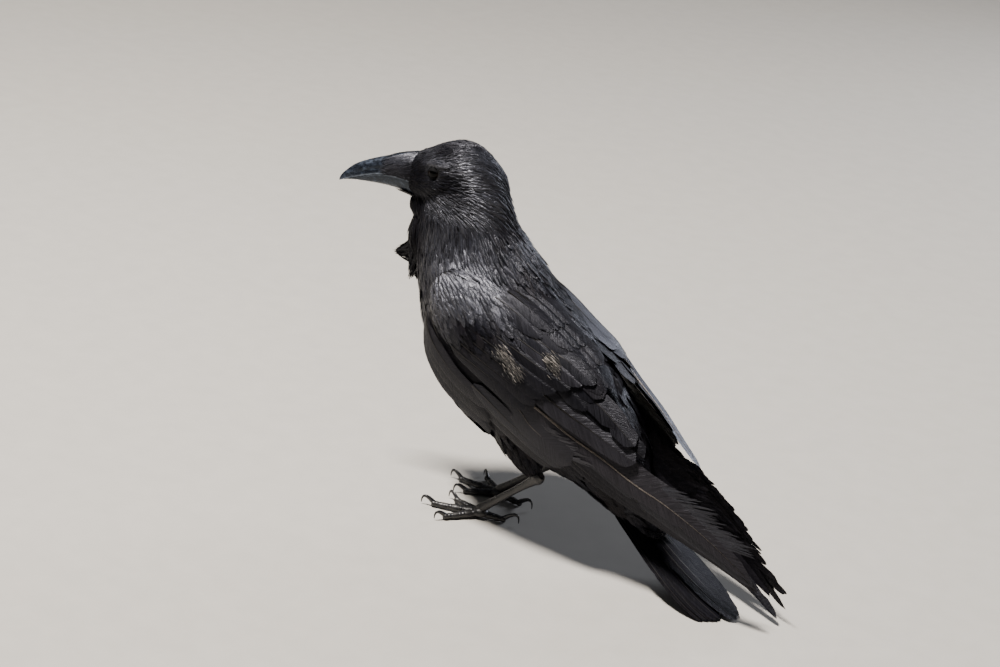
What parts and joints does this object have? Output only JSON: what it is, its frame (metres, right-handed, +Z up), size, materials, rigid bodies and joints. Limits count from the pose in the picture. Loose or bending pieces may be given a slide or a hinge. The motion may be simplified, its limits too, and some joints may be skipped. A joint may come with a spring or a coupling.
{
  "type": "raven",
  "caption": "Still life-size raven standing with folded wings, head turned to its left, resting on both feet and the tips of its tail feathers.",
  "frame": {"origin": "middle of the bird's extent, on the floor its feet and tail rest on", "axes": "+X from the bill back to the wing tips, +Y towards the bird's right side, +Z up"},
  "size_m": [0.4716, 0.1368, 0.3245],
  "materials": {
    "plumage": "glossy black feathers",
    "flight_feathers": "satin black feathers",
    "bill_horn": "satin black horn",
    "eye": "wet gloss",
    "leg_scales": "scaled, satin",
    "claw_horn": "polished black horn"
  },
  "bodies": {
    "root": {"bill_lower": "bill_horn", "bill_upper": "bill_horn", "claw_left_hind": "claw_horn", "claw_left_inner": "claw_horn", "claw_left_middle": "claw_horn", "claw_left_outer": "claw_horn", "claw_right_hind": "claw_horn", "claw_right_inner": "claw_horn", "claw_right_middle": "claw_horn", "claw_right_outer": "claw_horn", "eye_left": "eye", "eye_right": "eye", "foot_left": "leg_scales", "foot_right": "leg_scales", "head": "plumage", "neck": "plumage", "rump": "plumage", "shank_left": "leg_scales", "shank_right": "leg_scales", "tail": "flight_feathers", "thigh_left": "plumage", "thigh_right": "plumage", "throat_hackles": "plumage", "trunk": "plumage", "wing_left_primaries": "flight_feathers", "wing_left_secondaries": "flight_feathers", "wing_left_shoulder": "plumage", "wing_right_primaries": "flight_feathers", "wing_right_secondaries": "flight_feathers", "wing_right_shoulder": "plumage"}
  },
  "joints": []
}
